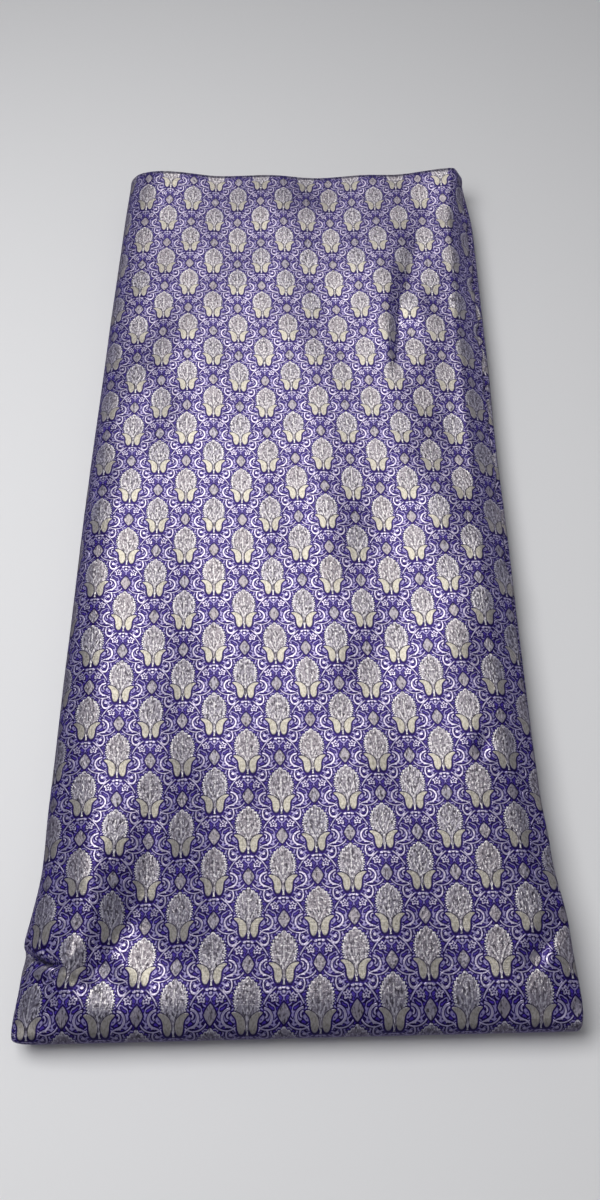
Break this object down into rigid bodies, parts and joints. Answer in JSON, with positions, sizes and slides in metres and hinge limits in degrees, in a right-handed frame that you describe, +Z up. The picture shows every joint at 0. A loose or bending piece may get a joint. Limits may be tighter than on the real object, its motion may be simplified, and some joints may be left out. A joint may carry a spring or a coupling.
{
  "type": "folded silk brocade fabric",
  "caption": "Length of silk brocade folded into a long flat bundle, with a rounded fold at one end and loose layers at the other.",
  "frame": {"origin": "under the middle of the bundle, on the surface that it lies on", "axes": "+Y along the bundle from its rounded fold to its loose ends, +X across it, +Z up"},
  "size_m": [0.292, 0.7042, 0.0299],
  "materials": {
    "silk": "satin brocade"
  },
  "bodies": {
    "root": {"cloth": "silk"}
  },
  "joints": []
}
